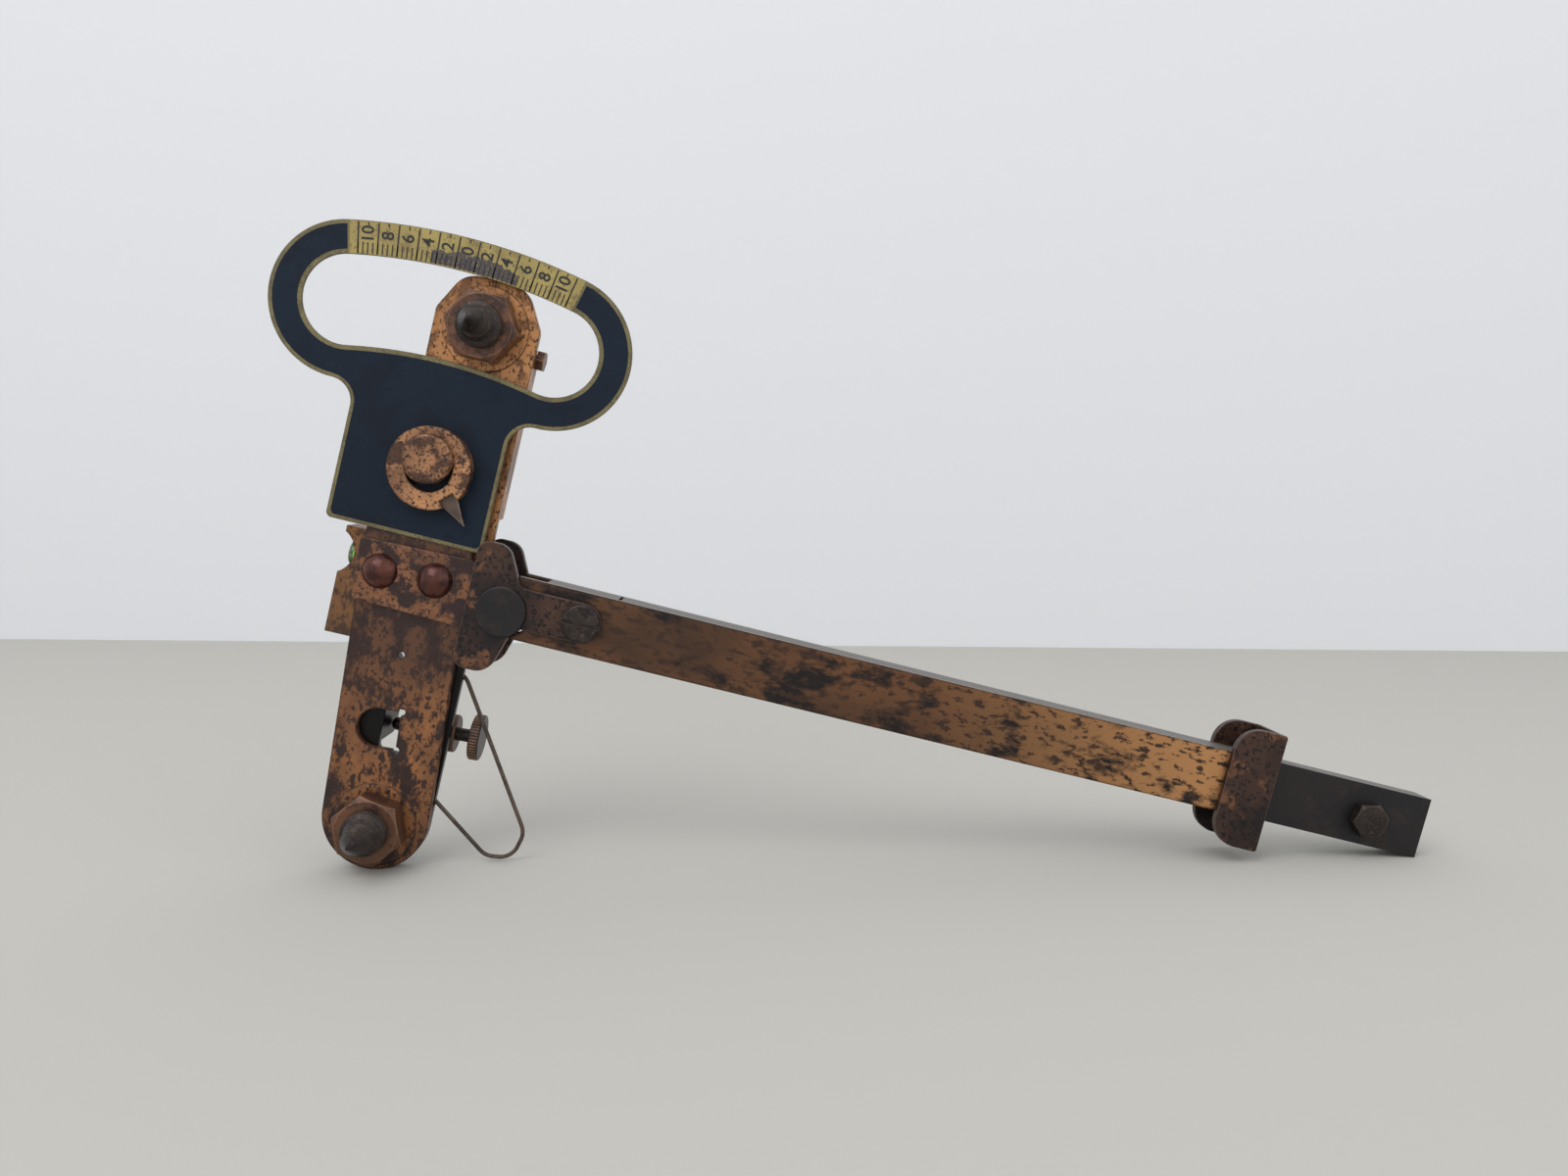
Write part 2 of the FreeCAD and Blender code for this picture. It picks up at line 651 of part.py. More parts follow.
# Ears: the same pressing in front of and behind the arm.
for label, rear in (("front_ear", ARM_FRONT), ("rear_ear", EAR_REAR)):
    ear = new_body(label, ARM.place(y=rear))
    edges = outline([(s.ear_flat, s.ear_high, 4), (s.ear_lobe_side, s.ear_high, 6), (4.6, s.tongue_high, 4),
                     (s.tongue_end, s.tongue_high, 7.05), (s.tongue_end, s.tongue_low, 7.05),
                     (5.5, s.tongue_low, 4), (0, s.ear_low, 7), (s.ear_flat, s.ear_low, 4)])
    edges.append(circle(0, 0, s.hinge_pin_radius + s.running_fit))
    edges.append(circle(s.ear_screw_side, s.ear_screw_height, s.ear_screw_radius))
    pad(ear, edges, "<cheek_thick>")

# Arm plates with the spacer between them, and the screw that clamps them to the ears.
for label, rear in (("arm_front_plate", -s.slide_clearance), ("arm_rear_plate", ARM_REAR)):
    plate = new_body(label, ARM.place(y=rear))
    edges = box_outline(s.arm_start, arm_low, s.saddle_face - s.saddle_web, arm_high)
    edges.append(circle(s.ear_screw_side, s.ear_screw_height, s.ear_screw_radius))
    edges.append(circle(s.travel_pin_side, s.arm_rise, s.travel_pin_radius))
    pad(plate, edges, "<arm_plate_thick>")
    cut_through(plate, [circle(0, 0, s.strap_lug_radius + 2 * s.face_gap)])
spacer = new_body("arm_spacer", ARM.place(y=s.extension_thick + s.slide_clearance))
pad(spacer, box_outline(s.spacer_start, arm_low, s.spacer_end, arm_high)
    + [circle(s.ear_screw_side, s.ear_screw_height, s.ear_screw_radius)], "<extension_thick> + 2 * <slide_clearance>")
screw_profile = outline([(0, EAR_FRONT - s.ear_screw_rise), (s.ear_screw_head, EAR_FRONT - s.ear_screw_rise, 0.8),
                         (s.ear_screw_head, EAR_FRONT), (s.ear_screw_radius, EAR_FRONT),
                         (s.ear_screw_radius, EAR_REAR + s.ear_nut_thick + 1), (0, EAR_REAR + s.ear_nut_thick + 1)])
ear_screw = turned("ear_screw", ARM.place(x=s.ear_screw_side, z=s.ear_screw_height), screw_profile)
slot_cut = ear_screw.newObject("PartDesign::Pocket", "EarScrewSlot")
slot_half = s.ear_screw_slot / 2
slot_cut.Profile = add_sketch(ear_screw, "XZ_Plane",
                              box_outline(-s.ear_screw_head - 1, -slot_half, s.ear_screw_head + 1, slot_half),
                              s.ear_screw_rise - EAR_FRONT)
bind(slot_cut, "Length", "<ear_screw_rise> / 2")
ear_nut = new_body("ear_screw_nut", ARM.place(x=s.ear_screw_side, y=EAR_REAR + s.ear_nut_thick, z=s.ear_screw_height))
hex_piece(ear_nut, s.ear_nut_flats, s.ear_nut_thick, bore=s.ear_screw_radius)
turned("guide_rivet", ARM.place(x=s.travel_pin_side, z=s.arm_rise),
       outline([(0, ARM_FRONT), (s.travel_pin_radius, ARM_FRONT), (s.travel_pin_radius, ARM_REAR), (0, ARM_REAR)]))

# Yoke: two cheeks joined by a web that the extension bar slides through.
yoke = new_body("yoke", ARM.place(y=EAR_REAR))
yoke_left = s.saddle_face - s.saddle_width
cheek_profile = outline([(yoke_left, s.saddle_low, s.saddle_round), (s.saddle_face, s.saddle_low, 1),
                         (s.saddle_face, s.saddle_high, 1), (yoke_left, s.saddle_high, s.saddle_round)])
pad(yoke, cheek_profile, EAR_REAR - EAR_FRONT)
yoke_room = yoke.newObject("PartDesign::Pocket", "YokeRoom")
yoke_room.Profile = add_sketch(yoke, "XZ_Plane", box_outline(yoke_left - 5, s.saddle_low - 5,
                                                             s.saddle_face - s.saddle_web, s.saddle_high + 5),
                               EAR_REAR - ARM_FRONT)
yoke_room.Length = ARM_REAR - ARM_FRONT
web_hole = yoke.newObject("PartDesign::Pocket", "YokeHole")
hole_rear = s.extension_thick + s.slide_clearance - EAR_REAR
hole_front = -s.slide_clearance - EAR_REAR
web_hole.Profile = add_sketch(yoke, "YZ_Plane", box_outline(hole_front, arm_low - s.slide_clearance, hole_rear,
                                                            arm_high + s.slide_clearance), s.saddle_face + 5)
web_hole.Length = s.saddle_web + 6

# Extension bar: slides between the plates, its slot running on the guide rivet.
extension_bar = new_body("extension_bar", ARM.place(y=s.extension_thick))
slot_start = s.travel_pin_side - s.travel - s.guide_slot_half
bar_edges = box_outline(s.extension_start, arm_low, s.extension_end, arm_high)
bar_edges.append(circle(s.end_bolt_side, s.end_bolt_height, s.end_bolt_radius))
bar_edges += box_outline(slot_start, s.arm_rise - s.guide_slot_half, s.travel_pin_side + s.guide_slot_half,
                         s.arm_rise + s.guide_slot_half, s.guide_slot_half - 0.01)
pad(extension_bar, bar_edges, "<extension_thick>")
end_bolt = new_body("end_bolt", ARM.place(x=s.end_bolt_side, y=0, z=s.end_bolt_height))
hex_piece(end_bolt, s.end_bolt_flats, s.end_bolt_head, turn=15)
pad(end_bolt, [circle(0, 0, s.end_bolt_radius)], s.extension_thick + s.end_nut_thick + 1,
    shift=-s.extension_thick - s.end_nut_thick - 1)
end_nut = new_body("end_bolt_nut", ARM.place(x=s.end_bolt_side, y=s.extension_thick + s.end_nut_thick,
                                             z=s.end_bolt_height))
hex_piece(end_nut, s.end_bolt_flats, s.end_nut_thick, bore=s.end_bolt_radius)

# Thumb screw through the strip's tab: its rounded tip bears on the bar's tab.
tip_side = (window_left + s.thumb_height * math.sin(math.radians(rest_reading)))
tip_side = tip_side / math.cos(math.radians(rest_reading)) + s.tip_gap
thumb_y = s.strip_thick + s.thumb_depth
head_end = s.thumb_head_side + s.thumb_head_thick
thumb_profile = outline([(tip_side, 0), (tip_side, s.thumb_radius, s.thumb_radius - 0.05),
                         (s.thumb_head_side, s.thumb_radius), (s.thumb_head_side, s.thumb_head_radius, 0.5),
                         (head_end, s.thumb_head_radius, 0.5), (head_end, 0)])
turned("thumb_screw", STRIP.place(y=thumb_y, z=s.thumb_height), thumb_profile, along="H_Axis")
lock_bore = s.thumb_radius + s.running_fit
lock_end = s.lock_nut_side + s.lock_nut_thick
turned("lock_nut", STRIP.place(y=thumb_y, z=s.thumb_height),
       outline([(s.lock_nut_side, lock_bore), (s.lock_nut_side, s.lock_nut_radius, 0.5),
                (lock_end, s.lock_nut_radius, 0.5), (lock_end, lock_bore)]), along="H_Axis")

# Level: a folded sheet behind the bar's edge, with a glass vial held by two saddles.
sheet_front = BAR_REAR
trough_front = BAR_REAR + s.level_sheet
trough_rear = s.channel_rear - s.level_sheet
housing = new_body("level_housing", BAR.place())
section = outline([(sheet_front, s.level_low), (trough_front, s.level_low), (trough_front, s.channel_low),
                   (s.channel_rear, s.channel_low, 1.5), (s.channel_rear, s.level_high, 1.5),
                   (sheet_front, s.level_high)])
section += box_outline(trough_front, s.channel_low + s.level_sheet, trough_rear, s.level_high - s.level_sheet)
pad(housing, section, s.level_right - s.level_left, role="YZ_Plane", shift=s.level_left)
cut_through(housing, [circle(s.level_left + s.notch_reach - s.notch_radius, s.vial_height, s.notch_radius)])
for height in (s.level_rivet_low, s.level_rivet_high):
    cut_through(housing, [circle(s.level_rivet_side, height, s.level_rivet_radius)])
VIAL = BAR.place(y=s.vial_depth, z=s.vial_height)
vial_right = s.vial_left + s.vial_length
vial_bore = s.vial_radius - s.vial_wall
turned("level_vial", VIAL, outline([(s.vial_left, vial_bore), (s.vial_left, s.vial_radius, 0.6),
                                    (vial_right, s.vial_radius, 0.6), (vial_right, vial_bore)]), along="H_Axis")
liquid_left = s.vial_left + s.stopper_length
liquid_right = vial_right - s.stopper_length
liquid = turned("vial_liquid", VIAL, outline([(liquid_left, 0), (liquid_left, vial_bore), (liquid_right, vial_bore),
                                              (liquid_right, 0)]), along="H_Axis")
bubble = liquid.newObject("PartDesign::Pocket", "Bubble")
bubble_low = 0.45 * vial_bore
bubble_mid = (liquid_left + liquid_right) / 2
bubble.Profile = add_sketch(liquid, "XZ_Plane", box_outline(bubble_mid - s.bubble_length / 2, bubble_low,
                                                            bubble_mid + s.bubble_length / 2, s.vial_radius))
bubble.Type = "ThroughAll"
bubble.Midplane = True
stoppers = []
for number, (left, right) in enumerate(((s.vial_left, liquid_left), (liquid_right, vial_right)), 1):
    profile = outline([(left, 0), (left, vial_bore), (right, vial_bore), (right, 0)])
    stoppers.append(turned("vial_stopper_%d" % number, VIAL, profile, along="H_Axis"))
group("vial_stoppers", stoppers)
saddles = []
notch_end = s.level_left + s.notch_reach + 1
for number, left in enumerate((notch_end, s.level_right - s.saddle_thick), 1):
    saddle = new_body("vial_saddle_%d" % number, BAR.place())
    block = box_outline(trough_front, s.channel_low + s.level_sheet, trough_rear, s.level_high - s.level_sheet)
    block.append(circle(s.vial_depth, s.vial_height, s.vial_radius))
    pad(saddle, block, "<saddle_thick>", role="YZ_Plane", shift=left)
    saddles.append(saddle)
group("vial_saddles", saddles)
level_rivets = []
rivet_end = trough_front + 1.2
for number, height in enumerate((s.level_rivet_low, s.level_rivet_high), 1):
    radius = s.level_rivet_radius
    profile = outline([(0, BAR_FRONT), (radius, BAR_FRONT), (radius, trough_front), (2 * radius, trough_front),
                       (2 * radius, rivet_end, 0.8), (0, rivet_end)])
    level_rivets.append(turned("housing_rivet_%d" % number, BAR.place(x=s.level_rivet_side, z=height), profile))
group("housing_rivets", level_rivets)

# Small hexagon screw in the bar's right flange.
edge_screw = new_body("edge_screw", BAR.place(x=bar_half, y=BAR_REAR + edge_depth, z=s.edge_screw_height))
pad(edge_screw, hexagon(s.edge_screw_flats), "<edge_screw_head>", role="YZ_Plane")
pad(edge_screw, [circle(0, 0, s.edge_screw_radius)], "<edge_screw_length>", role="YZ_Plane",
    shift=-s.edge_screw_length)

# Bail wire: a bent spring wire lying on the back of the bar.
wire_bends = [(s.wire_root_side, s.wire_root_height), (s.wire_knee_side, s.wire_knee_height),
              (s.wire_toe_side, s.wire_toe_height), (s.wire_low_side, s.wire_low_height),
              (s.wire_heel_side, s.wire_heel_height), (s.wire_end_side, s.wire_end_height)]
last_bend = len(wire_bends) - 1
wire_edges = []
bends = outline([(x, z, s.wire_bend if 0 < i < last_bend else 0) for i, (x, z) in enumerate(wire_bends)])
for bend in bends[:-1]:
    wire_edges.append(bend.toShape())
path = Part.Wire(Part.__sortEdges__(wire_edges))
start_edge = wire_edges[0]
start_point = start_edge.valueAt(start_edge.FirstParameter)
start_along = start_edge.tangentAt(start_edge.FirstParameter)
wire_section = Part.Wire([Part.Circle(start_point, start_along, s.wire_radius).toShape()])
spring_wire = doc.addObject("Part::Feature", "spring_wire")
spring_wire.Label = "spring_wire"
spring_wire.Shape = path.makePipeShell([wire_section], True, False)
stand = FreeCAD.Rotation(FreeCAD.Vector(1, 0, 0), 90)
spring_wire.Placement = FreeCAD.Placement(BAR.point(0, BAR_REAR + s.wire_radius + 0.05, 0),
                                          BAR.turn.multiply(stand))
pieces.append(spring_wire)
nodes.append(spring_wire)

# The row's frame has its origin under the middle of the overall box.
doc.recompute()
whole = FreeCAD.BoundBox()
for node in nodes:
    whole.add(node.Shape.BoundBox)
shift = FreeCAD.Vector(-(whole.XMin + whole.XMax) / 2, -(whole.YMin + whole.YMax) / 2, -whole.ZMin)
for piece in pieces:
    place = piece.Placement
    piece.Placement = FreeCAD.Placement(place.Base + shift, place.Rotation)
doc.recompute()

# Checks and export.
for item in doc.Objects:
    if "Invalid" in item.State or "Error" in item.State:
        raise RuntimeError("%s is in a bad state: %s" % (item.Label, item.State))
os.makedirs("parts", exist_ok=True)
for node in nodes:
    shape = node.Shape
    if shape.isNull() or not shape.isValid():
        raise RuntimeError("bad shape: " + node.Label)
    shape.exportStep("parts/%s.step" % node.Label)
    box = shape.BoundBox
    print("%-18s solids %d volume %9.1f  x %7.2f %7.2f  y %7.2f %7.2f  z %7.2f %7.2f" % (
        node.Label, len(shape.Solids), shape.Volume, box.XMin, box.XMax, box.YMin, box.YMax, box.ZMin, box.ZMax))


def report(name, point):
    where = point + shift
    print("ANCHOR %s %.4f %.4f %.4f" % (name, where.x, where.y, where.z))


report("pivot", STRIP.point(0, 0, 0))
report("pivot_tip", STRIP.point(0, lower_seat - s.nut_thick, 0))
report("hinge", hinge_point)
report("centre", centre_point)
report("upper", BAR.point(0, upper_seat - s.nut_thick, s.upper_stud_height))
report("thumb", STRIP.point(s.thumb_head_side, thumb_y, s.thumb_height))
report("bolt", ARM.point(s.end_bolt_side, 0, s.end_bolt_height))
report("sight", STRIP.point(0, 0, s.sight_hole_height))
report("shift", FreeCAD.Vector(0, 0, 0))
print("ANGLE arm_slope %.4f" % arm_slope)
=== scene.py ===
import bpy
import json
import math
import random
from mathutils import Matrix, Vector


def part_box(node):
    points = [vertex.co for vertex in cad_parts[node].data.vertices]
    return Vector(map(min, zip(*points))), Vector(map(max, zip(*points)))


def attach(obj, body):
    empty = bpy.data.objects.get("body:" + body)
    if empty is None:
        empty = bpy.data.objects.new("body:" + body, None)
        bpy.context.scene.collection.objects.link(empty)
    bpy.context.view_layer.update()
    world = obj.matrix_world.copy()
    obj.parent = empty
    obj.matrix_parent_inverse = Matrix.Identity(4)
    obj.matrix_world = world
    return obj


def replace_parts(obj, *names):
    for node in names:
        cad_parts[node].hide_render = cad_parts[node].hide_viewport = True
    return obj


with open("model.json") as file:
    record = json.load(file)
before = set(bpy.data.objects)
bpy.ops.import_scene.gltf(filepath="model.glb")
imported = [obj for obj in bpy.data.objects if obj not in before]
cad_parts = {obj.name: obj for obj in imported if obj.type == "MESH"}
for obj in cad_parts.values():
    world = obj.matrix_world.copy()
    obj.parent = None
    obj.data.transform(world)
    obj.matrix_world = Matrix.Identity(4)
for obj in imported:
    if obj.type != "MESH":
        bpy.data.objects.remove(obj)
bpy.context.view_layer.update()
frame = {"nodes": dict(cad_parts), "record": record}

# Front strip: a flat bar of mild steel with a round foot, browned with age and rubbed copper-bright
# on its lower half. It stands still and carries the scale, the hinge strap and the lower stud.
MM = 0.001
STRIP_LEAN = 10.5
finish = {}


def tone(rgb):
    """A screen colour in 0 to 255 as scene light."""
    return tuple(((c / 255 + 0.055) / 1.055) ** 2.4 if c > 10 else c / 255 / 12.92 for c in rgb) + (1.0,)


def worn(name, base, patch, speck, edge, patch_at=0.52, speck_at=0.6, size=90.0, rough=0.45, metal=0.45,
         edge_width=0.6, pale_top=None, fade=None, grain=(0, (1, 1, 1))):
    """Old metal: a base tone that drifts towards its patches, then patches, fine specks and rubbed edges.

    patch_at and speck_at are the noise levels where they start, and size is the patches per metre.
    fade is an axis, where it starts and ends in metres, the far tone and how much of it shows.
    grain is the angle and the stretch of the marks."""
    mat = bpy.data.materials.new(name)
    mat.use_nodes = True
    new, link = mat.node_tree.nodes.new, mat.node_tree.links.new
    shader = mat.node_tree.nodes["Principled BSDF"]
    place = new("ShaderNodeTexCoord")
    drawn = new("ShaderNodeMapping")
    drawn.vector_type = "TEXTURE"
    drawn.inputs["Rotation"].default_value = (0, math.radians(grain[0]), 0)
    drawn.inputs["Scale"].default_value = grain[1]
    link(place.outputs["Object"], drawn.inputs["Vector"])

    def ramp(value, start, end, top=1.0):
        node = new("ShaderNodeMapRange")
        node.inputs["From Min"].default_value = start
        node.inputs["From Max"].default_value = end
        node.inputs["To Max"].default_value = top
        link(value, node.inputs["Value"])
        return node.outputs["Result"]

    def mottle(scale, at, soft, detail=6.0):
        noise = new("ShaderNodeTexNoise")
        noise.inputs["Scale"].default_value = scale
        noise.inputs["Detail"].default_value = detail
        noise.inputs["Roughness"].default_value = 0.65
        link(drawn.outputs["Vector"], noise.inputs["Vector"])
        return ramp(noise.outputs["Fac"], at - soft, at + soft)

    def part_of(vector, axis):
        apart = new("ShaderNodeSeparateXYZ")
        link(vector, apart.inputs[0])
        return apart.outputs[axis]

    def mix(mask, under, over):
        node = new("ShaderNodeMix")
        node.data_type = "RGBA"
        link(mask, node.inputs[0])
        for socket, value in ((node.inputs[6], under), (node.inputs[7], over)):
            if isinstance(value, tuple):
                socket.default_value = value
            else:
                link(value, socket)
        return node.outputs[2]

    between = [(a + b) / 2 for a, b in zip(base, patch)]
    colour = mix(mottle(size * 0.3, 0.5, 0.12, 3.0), tone(base), tone(between))
    if fade:
        axis, start, end, far_tone, share = fade
        along = ramp(part_of(place.outputs["Object"], axis), start, end, share)
        colour = mix(along, colour, tone(far_tone))
    colour = mix(mottle(size, patch_at, 0.035, 9.0), colour, tone(patch))
    colour = mix(mottle(size * 5.5, speck_at, 0.03, 5.0), colour, tone(speck))

    rounded = new("ShaderNodeBevel")
    rounded.samples = 4
    rounded.inputs["Radius"].default_value = edge_width * MM
    flat = new("ShaderNodeNewGeometry")
    facing = new("ShaderNodeVectorMath")
    facing.operation = "DOT_PRODUCT"
    link(rounded.outputs["Normal"], facing.inputs[0])
    link(flat.outputs["Normal"], facing.inputs[1])
    broken = new("ShaderNodeMath")
    broken.operation = "MULTIPLY"
    link(ramp(facing.outputs["Value"], 0.995, 0.90), broken.inputs[0])
    link(mottle(260.0, 0.42, 0.1), broken.inputs[1])
    colour = mix(broken.outputs[0], colour, tone(edge))
    # Faces turned upwards go towards a paler tone: a painted sheen of the light from above.
    if pale_top:
        colour = mix(ramp(part_of(flat.outputs["Normal"], "Z"), 0.85, 0.93), colour, tone(pale_top))
    # A fade that shows in full is laid on again over the edges and the top; only the back bar's painted
    # shade behind the strip uses it.
    if fade and share == 1.0:
        colour = mix(along, colour, tone(far_tone))
    link(colour, shader.inputs["Base Color"])

    bump = new("ShaderNodeBump")
    bump.inputs["Strength"].default_value = 0.25
    bump.inputs["Distance"].default_value = 0.2 * MM
    link(mottle(900.0, 0.5, 0.3, 4.0), bump.inputs["Height"])
    link(rounded.outputs["Normal"], bump.inputs["Normal"])
    link(bump.outputs["Normal"], shader.inputs["Normal"])
    shader.inputs["Metallic"].default_value = metal
    shader.inputs["Roughness"].default_value = rough
    return mat


def paint(slot, make, **look):
    """A finish for every framed piece in a slot; later sections find it under the slot's name."""
    finish[slot] = make(slot, **look)
    for entry in frame["record"]["subparts"]:
        if entry["material_slot"] == slot:
            mesh = frame["nodes"][entry["node"]].data
            mesh.materials.clear()
            mesh.materials.append(finish[slot])


paint("strip_steel", worn, base=(156, 104, 64), patch=(52, 37, 34), speck=(60, 42, 36), edge=(30, 24, 24),
      patch_at=0.525, speck_at=0.545, size=105, rough=0.4, edge_width=1.1,
      fade=("Z", 0.05, 0.08, (92, 62, 46), 0.9), grain=(STRIP_LEAN, (1, 1, 1.4)))

# Hinge strap and its two rivets: a sheet steel strap, riveted across the strip for the hinge and
# stained in dark blotches. The rivets' domes are redder, and polished by handling.
paint("strap_steel", worn, base=(146, 98, 66), patch=(52, 38, 37), speck=(62, 44, 39), edge=(104, 84, 74),
      patch_at=0.505, speck_at=0.55, size=115, rough=0.38, metal=0.5)
paint("rivet_steel", worn, base=(98, 57, 47), patch=(64, 40, 38), speck=(84, 52, 46), edge=(54, 38, 36),
      patch_at=0.53, speck_at=0.6, size=150, rough=0.18, metal=0.7)

# Studs and nuts: two turned steel points, threaded coarse at the nut and fine on the point. The lower
# one is headed behind the bar, and the upper one ends flat behind its rear nut.
paint("stud_steel", worn, base=(60, 51, 46), patch=(40, 34, 33), speck=(78, 66, 56), edge=(112, 98, 82),
      patch_at=0.5, speck_at=0.6, size=160, rough=0.35, metal=0.6, edge_width=0.2)
paint("nut_steel", worn, base=(112, 77, 57), patch=(66, 48, 42), speck=(90, 64, 52), edge=(164, 126, 98),
      patch_at=0.52, speck_at=0.58, size=120, rough=0.36, metal=0.6)


def settle(name, mesh, slot, body, material=None):
    """An object from a mesh that already stands in its place, painted and riding on a body."""
    mesh.materials.clear()
    mesh.materials.append(material or finish[slot])
    obj = bpy.data.objects.new(name, mesh)
    bpy.context.scene.collection.objects.link(obj)
    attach(obj, body)
    return obj


def turned(name, profile, slot, body, place, sides=56):
    """A turned piece about the local Y axis from (radius, y) points in millimetres."""
    verts, faces = [], []
    for radius, y in profile:
        for k in range(sides):
            a = 2 * math.pi * k / sides
            verts.append(place @ Vector((radius * math.cos(a) * MM, y * MM, radius * math.sin(a) * MM)))
    for row in range(len(profile) - 1):
        for k in range(sides):
            a, b = row * sides + k, row * sides + (k + 1) % sides
            faces.append((a, b, b + sides, a + sides))
    faces.append(tuple(range(sides)))
    faces.append(tuple(reversed(range((len(profile) - 1) * sides, len(profile) * sides))))
    mesh = bpy.data.meshes.new(name)
    mesh.from_pydata(verts, [], faces)
    mesh.validate()
    mesh.update()
    return settle(name, mesh, slot, body)


def thread(profile, y, end, crest, root, pitch, marks):
    """Thread ridges from y down to end; marks are where crest, root and crest lie in one pitch."""
    while y > end:
        profile += [(radius, y - mark) for radius, mark in zip((crest, root, crest), marks)]
        y -= pitch
    return y


shank, tip_reach, taper = 7.6, 19.0, 2.4
head_rear, head_face, head_radius = 10.64, 6.45, 11.0
nut_rear, nut_chamfer = 12.9, 0.4
for node, body, seat in (("lower_stud", "head", -10.3), ("upper_stud", "bar", -6.9)):
    a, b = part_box(node)
    place = Matrix.Translation(((a.x + b.x) / 2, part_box("dial_plate")[1].y, (a.z + b.z) / 2))
    if body == "head":
        profile = [(10.2, head_rear), (head_radius, 10.0),
                   (head_radius, head_face + 0.01), (shank, head_face)]
    else:
        profile = [(shank - nut_chamfer, nut_rear), (shank, nut_rear - nut_chamfer)]
    profile.append((shank, seat))
    y = thread(profile, seat, seat - 4.0, 7.55, 7.0, 1.35, (0.15, 0.7, 1.25))
    profile += [(6.2, y - 0.6), (4.8, y - taper)]
    y = thread(profile, y - taper, seat - 12.5, 4.5, 4.1, 1.05, (0.1, 0.5, 0.95))
    profile += [(4.2, y - 0.2), (2.2, y - 3.4), (0.5, seat - tip_reach)]
    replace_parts(turned(node + "_thread", profile, "stud_steel", body, place), node)

# Back bar: a steel bar with bent flanges, which swings behind the strip. Its open upper half is worn
# to a copper colour, and below the strap, where the strip covers it, it is painted near black as the shade
# behind the strip.
paint("bar_steel", worn, base=(186, 132, 84), patch=(120, 82, 54), speck=(76, 54, 42), edge=(60, 44, 38),
      patch_at=0.53, speck_at=0.57, size=150, rough=0.34, metal=0.6,
      fade=("Z", 0.105, 0.099, (14, 12, 12), 1.0), grain=(STRIP_LEAN, (1, 1, 1.4)))

# Level: a glass vial with bright green liquid, plugged at both ends, in a bent steel housing that is
# riveted to the back bar. The liquid glows faintly, painted light that lets its colour show inside the
# housing.
paint("level_steel", worn, base=(158, 108, 62), patch=(74, 54, 43), speck=(74, 54, 43), edge=(60, 46, 40),
      patch_at=0.53, speck_at=0.56, size=130, grain=(STRIP_LEAN, (1, 1, 1.4)))


def clear(name, rgb, through, rough=0.05, glow=0.0):
    """Glass or liquid that lets a share of the light through."""
    mat = bpy.data.materials.new(name)
    mat.use_nodes = True
    shader = mat.node_tree.nodes["Principled BSDF"]
    shader.inputs["Base Color"].default_value = tone(rgb)
    shader.inputs["Roughness"].default_value = rough
    shader.inputs["Transmission Weight"].default_value = through
    # Emission here is painted light: a glow from a part that is no lamp.
    shader.inputs["Emission Color"].default_value = tone(rgb)
    shader.inputs["Emission Strength"].default_value = glow
    return mat


paint("vial_glass", clear, rgb=(236, 255, 228), through=1.0)
paint("vial_fluid", clear, rgb=(96, 214, 60), through=0.0, rough=0.15, glow=1.0)
paint("vial_plug", worn, base=(190, 186, 170), patch=(170, 165, 148), speck=(150, 146, 130),
      edge=(150, 146, 130), metal=0.0, rough=0.9)

# Scale plate: brass sheet with blue-black enamel fused on its face, which leaves a dull brass border
# and the bright band of the scale. It leans with the strip, and x counts from its own middle line.
SCALE_LEAN = 14.2
middle_side = -12.2
paint("dial_face", worn, base=(122, 112, 76), patch=(98, 89, 62), speck=(78, 71, 50), edge=(58, 52, 42),
      patch_at=0.54, speck_at=0.6, size=200, rough=0.5, metal=0.3, edge_width=0.5)
enamel = worn("enamel", base=(13, 29, 45), patch=(11, 23, 37), speck=(26, 36, 44), edge=(44, 52, 56),
              patch_at=0.55, speck_at=0.66, size=60, rough=0.5, metal=0.0, edge_width=0.1)
enamel.node_tree.nodes["Principled BSDF"].inputs["Specular IOR Level"].default_value = 0.2
brass = worn("brass", base=(164, 147, 88), patch=(136, 120, 74), speck=(104, 91, 60), edge=(136, 120, 74),
             patch_at=0.56, speck_at=0.6, size=200, rough=0.5, metal=0.3, edge_width=0.1)
a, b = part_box("lower_stud")
DIAL = (Matrix.Translation(((a.x + b.x) / 2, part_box("dial_plate")[0].y, (a.z + b.z) / 2))
        @ Matrix.Rotation(math.radians(SCALE_LEAN), 4, "Y") @ Matrix.Translation((middle_side * MM, 0, 0)))
UPRIGHT = Matrix.Rotation(math.pi / 2, 4, "X")


def arc(centre, radius, start, end, steps=24):
    """Points on an arc, in degrees clockwise from straight up."""
    points = []
    for k in range(steps + 1):
        t = math.radians(start + (end - start) * k / steps)
        points.append((centre[0] + radius * math.sin(t), centre[1] + radius * math.cos(t)))
    return points


def meshed(curve, place):
    """The mesh of a flat curve or a text, moved to its place."""
    shape = bpy.data.objects.new("shape", curve)
    bpy.context.scene.collection.objects.link(shape)
    mesh = bpy.data.meshes.new_from_object(shape.evaluated_get(bpy.context.evaluated_depsgraph_get()))
    bpy.data.objects.remove(shape)
    mesh.transform(place)
    return mesh


def flat_shape(name, outline, front, thick, material):
    """A thin plate of any outline on the scale; front is how far it stands before the plate."""
    curve = bpy.data.curves.new(name, "CURVE")
    curve.dimensions = "2D"
    curve.fill_mode = "BOTH"
    curve.extrude = thick / 2 * MM
    line = curve.splines.new("POLY")
    line.points.add(len(outline) - 1)
    for point, (x, z) in zip(line.points, outline):
        point.co = (x * MM, z * MM, 0, 1)
    line.use_cyclic_u = True
    place = DIAL @ Matrix.Translation((0, -(front - thick / 2) * MM, 0)) @ UPRIGHT
    return settle(name, meshed(curve, place), "dial_face", "head", material)


